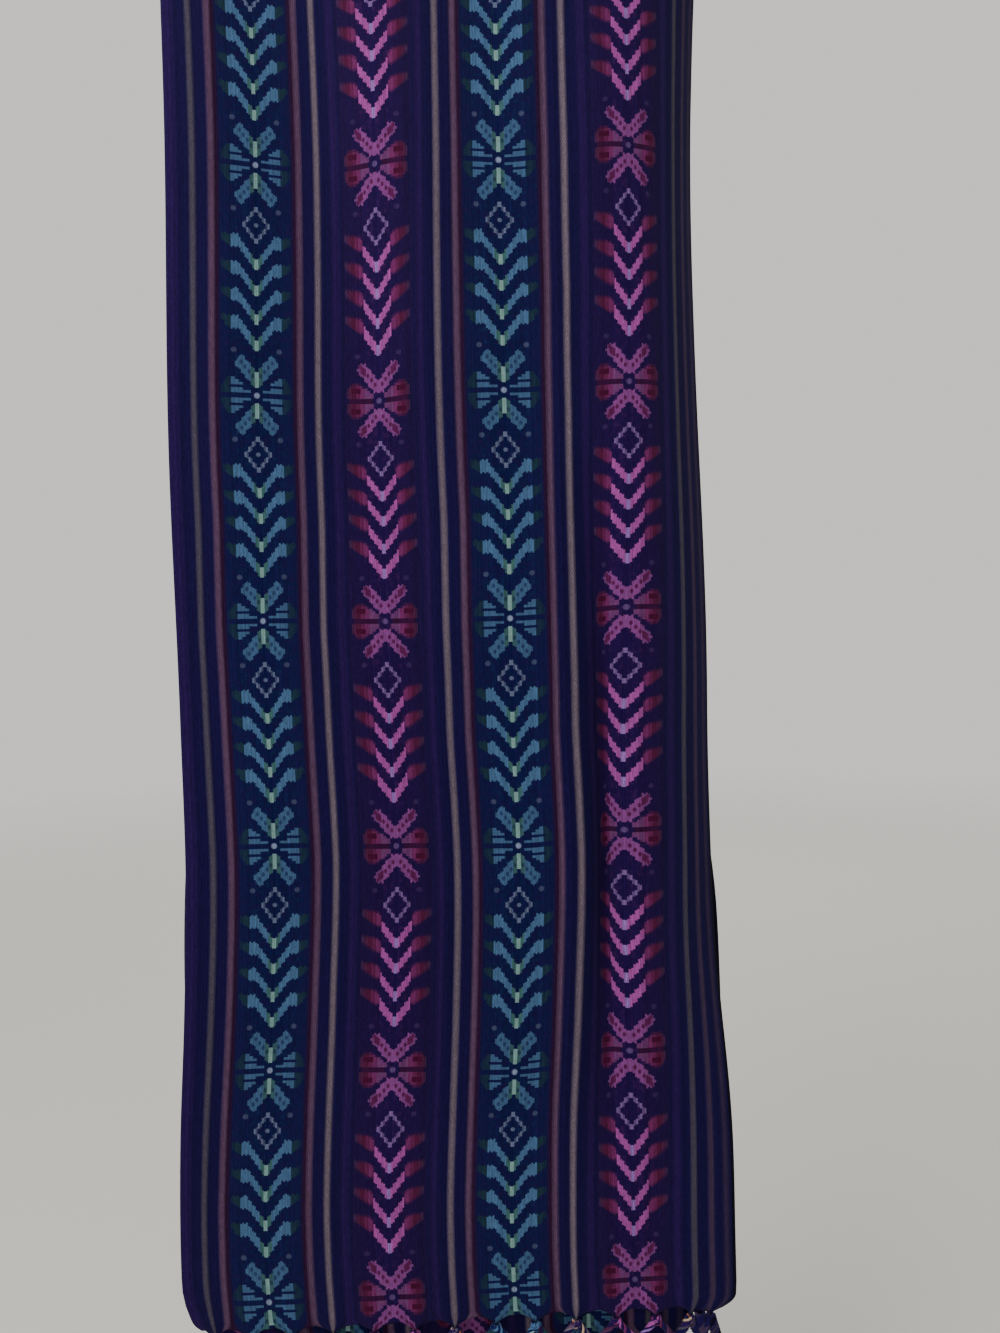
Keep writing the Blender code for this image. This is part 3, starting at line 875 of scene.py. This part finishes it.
PETAL_RED = (0.050, 0.0026, 0.026)
WARM_STEM = (0.0320, 0.0030, 0.0360)
RUST = (0.300, 0.085, 0.035)
CREAM = (0.420, 0.300, 0.200)


def band_places(warp):
    """Distance from the nearest band's middle, and whether that band is a warm one."""
    bands = (warp - FOLD_TO_FIRST_BAND) / BAND_PITCH
    nearest = bands.round().most(-4.0).least(3.0)
    away = (bands - nearest) * BAND_PITCH
    warm = (nearest * 0.5).fraction() > 0.25
    return away, warm


def stripe(distance, centre, half_width):
    """Share of a stripe's colour: full in its middle and mixed with the ground towards its edges."""
    return ((half_width - abs(distance - centre)) / (0.75 * half_width)).clamp()


# Stripes of the ground: the distance of each from a band's middle or from the selvage, and half its width
FIELD_MIDDLE = (0.0, 0.0180)
PURPLE_STRIPE = (0.0249, 0.0034)
MAROON_STRIPE = (0.0224, 0.0026)
ROSE_STRIPE = (0.0247, 0.0024)
TAN_STRIPE = (0.0349, 0.0024)
MARGIN_STRIPE = (0.0139, 0.0024)
EDGE_STRIPE = (0.0052, 0.0026)
FIELD_HALF_WIDTH = 0.0215
MARGIN_WIDTH = 0.0220
DARK_EDGE = 0.0020
VIOLET_AREA = (0.0107, 0.0098)
ACCENT_STRIPE = (0.0330, 0.0060)
ACCENTS_PER_METRE = 90.0

# The tan stripes are duller beside the fold and past these places towards the two selvages
DULL_AT_FOLD = 0.02
DULL_FROM = 0.27
HIDDEN_DULL_FROM = 0.25


def ground_colour(tree, warp, away, warm):
    """Colour of the ground warps: the fields, and the fine stripes between the bands."""
    distance = abs(away)
    middle = blend(tree, warm, BLUE_MIDDLE, PURPLE_MIDDLE)
    field = blend(tree, warm, BLUE_FIELD, PURPLE_FIELD)
    field = blend(tree, stripe(distance, *FIELD_MIDDLE), field, middle)
    colour = blend(tree, distance > FIELD_HALF_WIDTH, field, NAVY)
    colour = blend(tree, stripe(distance, *PURPLE_STRIPE) * warm, colour, PURPLE)
    colour = blend(tree, stripe(distance, *MAROON_STRIPE) * (1.0 - warm), colour, MAROON)
    colour = blend(tree, stripe(distance, *ROSE_STRIPE) * (1.0 - warm), colour, ROSE)
    dull = (warp > DULL_FROM).most(warp.within(0.0, DULL_AT_FOLD)).most(warp < -HIDDEN_DULL_FROM)
    tan = blend(tree, dull, TAN, DULL_TAN)
    colour = blend(tree, stripe(distance, *TAN_STRIPE), colour, tan)
    selvage = (OUTER_WIDTH - warp).least(warp + HIDDEN_WIDTH)
    margin = blend(tree, stripe(selvage, *MARGIN_STRIPE), NAVY, MARGIN_LINE)
    margin = blend(tree, stripe(selvage, *EDGE_STRIPE), margin, EDGE_LINE)
    margin = blend(tree, selvage < DARK_EDGE, margin, SELVAGE_DARK)
    return blend(tree, selvage < MARGIN_WIDTH, colour, margin)


def figure_colour(tree, away, warm):
    """Colour of the picked-up warps, which changes only across the band."""
    cells = abs(away) / CELL_WIDTH
    return blend(tree, warm, steps(tree, cells, COOL_WARPS), steps(tree, cells, WARM_WARPS))


def dot(away, rows, half_cells, half_rows):
    """Share of a small round dot with a soft edge, from distances to its middle."""
    x = away / (half_cells * CELL_WIDTH)
    y = rows / half_rows
    return ((1.35 - (x * x + y * y).root()) * 2.0).clamp()


def figures(tree, away, warm, phase):
    """The woven figures: flowers, dots, diamonds and rows of arrows, charted in cells and rows.

    Each cell is two columns wide, and rows count down from a flower's middle. Returns how much the
    picked-up warps cover the ground, from 0 to 1, the same for the pale beads, and the figures' colour.
    """
    column = abs((away / COLUMN_WIDTH).floor() + 0.5) - 0.5
    c = column * 0.5 + 0.25
    stagger = (column * 0.5).fraction()
    down = (-phase).fraction() * ROWS_PER_REPEAT
    row = ((down * 2.0 + stagger).floor() + 0.5 - stagger) * 0.5
    from_flower = abs(row - ROWS_PER_REPEAT * (row > ROWS_PER_REPEAT / 2))
    flower_rows = down.least(ROWS_PER_REPEAT - down)
    cool = 1.0 - warm

    # Flower: four slanting arms that meet round a dot, each with a dotted line along its middle
    low = (c * 0.89 + 1.0 - 0.5 * warm).most(1.6 - 0.1 * warm)
    high = c * 0.85 + 4.55 - 0.7 * warm - 0.3 * (c < 0.5)
    high = high.least(7.7 - 0.6 * warm).least(13.2 + 0.5 * warm - c * 1.3)
    arms = (from_flower > low) * (from_flower < high) * (c < ARM_CELLS)
    middle = (low + high) * 0.5
    cell = (abs(away) / CELL_WIDTH).round()
    past_dot = flower_rows - cell * 0.87 - 2.85 + 0.6 * warm
    dots = arms * (cell > 0.5) * dot(abs(away) - cell * CELL_WIDTH, past_dot, 0.36, 0.40)
    tip = arms * (abs(from_flower - middle) < 0.8) * c.within(4.4, 0.7) * warm

    # Side petals: a bar that runs in to the dot and a wedge above it, with a dark line between them in
    # the cool bands
    soft = warm * (c > 3.9)
    line = ((down * 2.0).floor() + 0.5) * 0.5
    line = abs(line - ROWS_PER_REPEAT * (line > ROWS_PER_REPEAT / 2))
    bar = (line > 0.5) * (line < 1.1 + 0.6 * (c > 3.4)) * (c > 1.3)
    top = (c * 0.55 + 0.3).least(3.5 - 0.1 * warm - 0.9 * (c - 7.3).most(0.0))
    wedge = (line > 1.6 - 0.5 * warm) * ((top + 0.2 * warm - line) * (9.0 - 7.4 * soft)).clamp()
    wedge = wedge * (c > 3.4 - 1.9 * warm) * (1.0 - 0.3 * (c < 3.4))
    petals = bar.most(wedge) * (c < FIGURE_CELLS - 0.7 * warm)
    slits = c.within(5.0, 1.8) * line.within(1.75, 0.2) * cool
    hearts = c.within(6.4, 1.3) * line.within(2.0, 0.6) * warm
    stem = (line < 0.5) * (c > 1.8) * (c < 8.2) * warm

    # Arrows: blunt ends a little above the slant in the cool bands, pointed lobes in the warm ones
    rise_cool = c.least(4.65) + 0.35 * (c - 6.5).most(0.0)
    rise_warm = c + (3.45 - c * 0.68) * (c > 3.9)
    rise = rise_cool + (rise_warm - rise_cool) * warm
    from_first = row - FIRST_ARROW_ROW + rise
    which = (from_first / ARROW_ROWS).round().most(0.0).least(LAST_ARROW)
    half = 1.02 + 0.23 * (c > 4.3) - 0.20 * (c - 5.8).most(0.0)
    within = half - abs(from_first - which * ARROW_ROWS)
    arrows = (((within + 0.3) * 1.7).clamp() * soft).most((within > 0.0) * (1.0 - soft))
    arrows = arrows * (c < FIGURE_CELLS)

    # Pale beads: diamonds, the flowers' middles and the dots off their corners
    from_middle = abs(row - DIAMOND_ROW)
    beads = 0.57 + 0.19 * warm - 0.6 * stagger
    diamond = beads * (abs(from_middle / 3.05 + c / 3.15 - 1.0) < 0.145)
    seed_dot = 0.5 * cool * dot(away, down - DIAMOND_ROW, 0.50, 0.36)
    eye = (1.0 - 0.6 * warm) * dot(away, flower_rows, 0.64, 0.50)
    from_corner = abs(away) - ARM_CELLS * CELL_WIDTH
    corner_dots = (0.22 - 0.12 * warm) * dot(from_corner, flower_rows - 8.6, 0.62, 0.44)
    pale = diamond.most(seed_dot).most(eye).most(corner_dots)

    flower = arms.most(petals)
    shown = flower.most(arrows) * (1.0 - slits)
    pink = blend(tree, c > 3.9, ARM_PINK, ARM_TIP_PINK)
    colour = blend(tree, arms * warm, figure_colour(tree, away, warm), pink)
    colour = blend(tree, petals * warm * (c < 3.9), colour, INNER_PINK)
    colour = blend(tree, arms * warm * tip.most(dots), colour, CRIMSON)
    colour = blend(tree, hearts * petals, colour, PETAL_RED)
    colour = blend(tree, stem, colour, WARM_STEM)
    fade = ((9.9 - c) * 0.5).clamp() * (1.0 - 0.25 * cool * (c > 6.4))
    strength = shown * fade * (1.0 - 0.18 * flower * cool * (c > 0.5)) * (1.0 - 0.6 * cool * dots)
    strength = strength.most(stem)
    return strength, pale, colour


def finished(name, roughness, sheen, specular=0.06):
    """A new Principled material, its node tree and its shader."""
    material = bpy.data.materials.new(name)
    material.use_nodes = True
    shader = material.node_tree.nodes["Principled BSDF"]
    set_inputs(shader, {
        "Roughness": roughness, "Specular IOR Level": specular,
        "Sheen Weight": sheen, "Sheen Roughness": 0.45,
    })
    return material, material.node_tree, shader


def surface(tree, shader, colour, height, distance, strength):
    """Links the colour, and the finest relief as a height in units of distance."""
    tree.links.new(colour, shader.inputs["Base Color"])
    node = tree.nodes.new("ShaderNodeBump")
    set_inputs(node, {"Strength": strength, "Distance": distance})
    tree.links.new(height.socket, node.inputs["Height"])
    tree.links.new(node.outputs[0], shader.inputs["Normal"])


def cloth_material():
    """Warp-faced cloth: ground warps pass over one pick at a time, picked-up warps float."""
    material, tree, shader = finished("rebozo_weave", 0.85, 0.015)
    warp, along = pair(tree, "warp")
    _, phase = pair(tree, "figure")
    away, warm = band_places(warp)
    shown, pale, warps = figures(tree, away, warm, phase)

    # Yarns side by side, each a rounded ridge that dips under every second pick
    yarn = away / YARN_WIDTH + 0.5
    index = yarn.floor()
    ridge = yarn.crest()
    stagger = (index * 0.5).fraction()
    pick = along / (2 * PICK) + stagger
    beads = pick.crest()
    tone = chance(tree, index, (warp / BAND_PITCH).round())
    grain = chance(tree, index, pick.floor())
    mottle = noise(tree, 330.0, 2.0)

    # Ground, unevenly violet inside a band, with a little of the picked-up warps glinting through it
    ground = ground_colour(tree, warp, away, warm)
    inside = abs(away).within(*VIOLET_AREA)
    ground = blend(tree, ((mottle - 0.48) * 3.0).clamp() * inside * 0.5, ground, VIOLET)
    ground = blend(tree, 0.25 * (0.52 - mottle).most(0.0) * inside, ground, warps)
    colour = blend(tree, shown, ground, warps)
    colour = blend(tree, pale, colour, blend(tree, warm, COOL_PALE, WARM_PALE))

    floats = shown.most(pale)
    lift = ridge * (0.45 + 0.55 * beads.most(floats)) + 0.35 * floats
    fibre = noise(tree, 900.0, 2.0)
    cloud = noise(tree, 9.0, 3.0)
    # Painted shade: darker in the dips between yarns and under picks, lighter on their crests; tone,
    # grain, fibre and cloud then add random tone of yarns, fibres and patches
    light = 0.68 + 0.42 * ridge * beads.most(floats)
    light = 0.92 * light * (0.84 + 0.32 * tone) * (0.86 + 0.28 * grain) * (0.84 + 0.32 * fibre)
    light = light * (0.90 + 0.20 * cloud)
    colour = blend(tree, 1.0, colour, combine(tree, light, light, light), "MULTIPLY")
    surface(tree, shader, colour, lift + 0.15 * fibre, 0.00030, 0.7)
    return material


def fringe_material():
    """The same warps below the hem, some of them figure yarns and some ground yarns."""
    material, tree, shader = finished("rebozo_fringe_yarn", 0.88, 0.05)
    warp, kind = pair(tree, "warp")
    away, warm = band_places(warp)
    figure = (kind > 0.9) * (abs(away) < CELL_WIDTH * 9.5)
    colour = blend(tree, figure, ground_colour(tree, warp, away, warm), figure_colour(tree, away, warm))
    accent = (kind > 1.9) * abs(away).within(*ACCENT_STRIPE)
    every_second = (warp * ACCENTS_PER_METRE).fraction() > 0.5
    colour = blend(tree, accent, colour, blend(tree, every_second, RUST, CREAM))
    fibre = noise(tree, 700.0, 3.0)
    light = 0.70 + 0.60 * fibre
    colour = blend(tree, 1.0, colour, combine(tree, light, light, light), "MULTIPLY")
    surface(tree, shader, colour, fibre, 0.00020, 0.6)
    return material


def wood_material():
    """Oiled hardwood: long grain along the rod, fine pores and a slight gloss."""
    material, tree, shader = finished("rod_oiled_wood", 0.42, 0.0)
    set_inputs(shader, {"Coat Weight": 0.15, "Coat Roughness": 0.30})
    stretch = tree.nodes.new("ShaderNodeMapping")
    stretch.inputs["Scale"].default_value = (0.06, 1.0, 1.0)
    tree.links.new(own_place(tree), stretch.inputs["Vector"])
    grain = noise(tree, 260.0, 4.0, stretch.outputs[0], 0.6)
    pores = noise(tree, 1500.0, 2.0, stretch.outputs[0], 0.5)
    share = (grain * 1.6 - 0.3).clamp()
    colour = blend(tree, share, (0.34, 0.170, 0.070), (0.17, 0.075, 0.030))
    colour = blend(tree, (pores - 0.62) * 4.0 > 0.5, colour, (0.09, 0.038, 0.016))
    surface(tree, shader, colour, grain * 0.5 + pores * 0.3, 0.00015, 0.5)
    return material


# ---- build

cloth_finish = cloth_material()
yarn_finish = fringe_material()
wood_finish = wood_material()

cloth = make_cloth(cloth_finish)
fringes = [
    make_fringe("fringe_front_outside", "fringe_front_outer", FRONT, False, yarn_finish),
    make_fringe("fringe_front_inside", "fringe_front_hidden", FRONT, True, yarn_finish),
    make_fringe("fringe_back_outside", "fringe_back_outer", BACK, False, yarn_finish),
    make_fringe("fringe_back_inside", "fringe_back_hidden", BACK, True, yarn_finish),
]

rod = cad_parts["rod"]
rod.data.materials.clear()
rod.data.materials.append(wood_finish)

# ---- studio

FLOOR_DEPTH = -1.30
FLOOR_RADIUS = 6.0
FLOOR_SIDES = 96
FLOOR_FADE_FROM = 1.2
FLOOR_FADE_OVER = 3.2
FLOOR_COLOUR = (0.62, 0.60, 0.57)
WORLD_COLOUR = (0.85, 0.83, 0.79)


def make_floor():
    """A large pale floor whose far edge melts into the pale surroundings."""
    points = [(0.0, 0.0, FLOOR_DEPTH)]
    for side in range(FLOOR_SIDES):
        angle = 2 * math.pi * side / FLOOR_SIDES
        points.append((FLOOR_RADIUS * math.cos(angle), FLOOR_RADIUS * math.sin(angle), FLOOR_DEPTH))
    faces = [(0, 1 + i, 1 + (i + 1) % FLOOR_SIDES) for i in range(FLOOR_SIDES)]
    data = bpy.data.meshes.new("floor")
    data.from_pydata(points, [], faces)
    material, tree, shader = finished("floor_pale", 0.9, 0.0, specular=0.1)
    set_inputs(shader, {"Base Color": (*FLOOR_COLOUR, 1.0)})
    length = tree.nodes.new("ShaderNodeVectorMath")
    length.operation = "LENGTH"
    tree.links.new(own_place(tree), length.inputs[0])
    radius = Num(tree, length.outputs["Value"])
    share = ((radius - FLOOR_FADE_FROM) / FLOOR_FADE_OVER).clamp()
    clear = tree.nodes.new("ShaderNodeBsdfTransparent")
    mixed = tree.nodes.new("ShaderNodeMixShader")
    tree.links.new(share.socket, mixed.inputs[0])
    tree.links.new(shader.outputs[0], mixed.inputs[1])
    tree.links.new(clear.outputs[0], mixed.inputs[2])
    tree.links.new(mixed.outputs[0], tree.nodes["Material Output"].inputs["Surface"])
    data.materials.append(material)
    made = put("floor", data)


def make_light(name, place, target, size, power, colour):
    """A soft square light that faces a target."""
    data = bpy.data.lights.new(name, "AREA")
    data.shape = "SQUARE"
    data.size = size
    data.energy = power
    data.color = colour
    made = put(name, data)
    made.location = place
    made.rotation_mode = "QUATERNION"
    made.rotation_quaternion = (Vector(target) - Vector(place)).to_track_quat("-Z", "Y")


def make_world():
    """Even pale surroundings."""
    world = bpy.data.worlds.new("surroundings")
    world.use_nodes = True
    background = world.node_tree.nodes["Background"]
    set_inputs(background, {"Color": (*WORLD_COLOUR, 1.0), "Strength": 1.0})
    bpy.context.scene.world = world


CAMERA_PLACE = (0.0, -0.6004, -0.6530)
CAMERA_YAW = math.radians(1.97)
CAMERA_PITCH = math.radians(1.90)
CAMERA_ROLL = math.radians(-1.24)
CAMERA_LENS = 28.09


def make_camera():
    """The camera at the photograph's viewing angle, close in front of the lower part of the cloth."""
    forward = Vector((
        math.sin(CAMERA_YAW) * math.cos(CAMERA_PITCH),
        math.cos(CAMERA_YAW) * math.cos(CAMERA_PITCH),
        -math.sin(CAMERA_PITCH),
    ))
    level = Vector((math.cos(CAMERA_YAW), -math.sin(CAMERA_YAW), 0.0))
    upward = level.cross(forward)
    right = math.cos(CAMERA_ROLL) * level + math.sin(CAMERA_ROLL) * upward
    up = -math.sin(CAMERA_ROLL) * level + math.cos(CAMERA_ROLL) * upward
    data = bpy.data.cameras.new("camera")
    data.sensor_width = 36.0
    data.lens = CAMERA_LENS
    data.clip_start = 0.01
    data.clip_end = 100.0
    made = put("camera", data)
    turn = Matrix((right, up, -forward)).transposed()
    made.matrix_world = Matrix.Translation(CAMERA_PLACE) @ turn.to_4x4()
    bpy.context.scene.camera = made


make_floor()
make_light("key", (-0.75, -0.78, 0.55), (0.0, 0.0, -0.45), 0.8, 23.0, (1.0, 0.98, 0.95))
make_light("fill", (-1.9, -1.2, 0.1), (0.0, 0.0, -0.6), 1.8, 3.5, (0.94, 0.97, 1.0))
make_light("back", (0.6, 2.2, 0.6), (0.0, 0.0, -0.5), 1.8, 15.0, (1.0, 1.0, 1.0))
make_world()
make_camera()

bpy.context.view_layer.update()
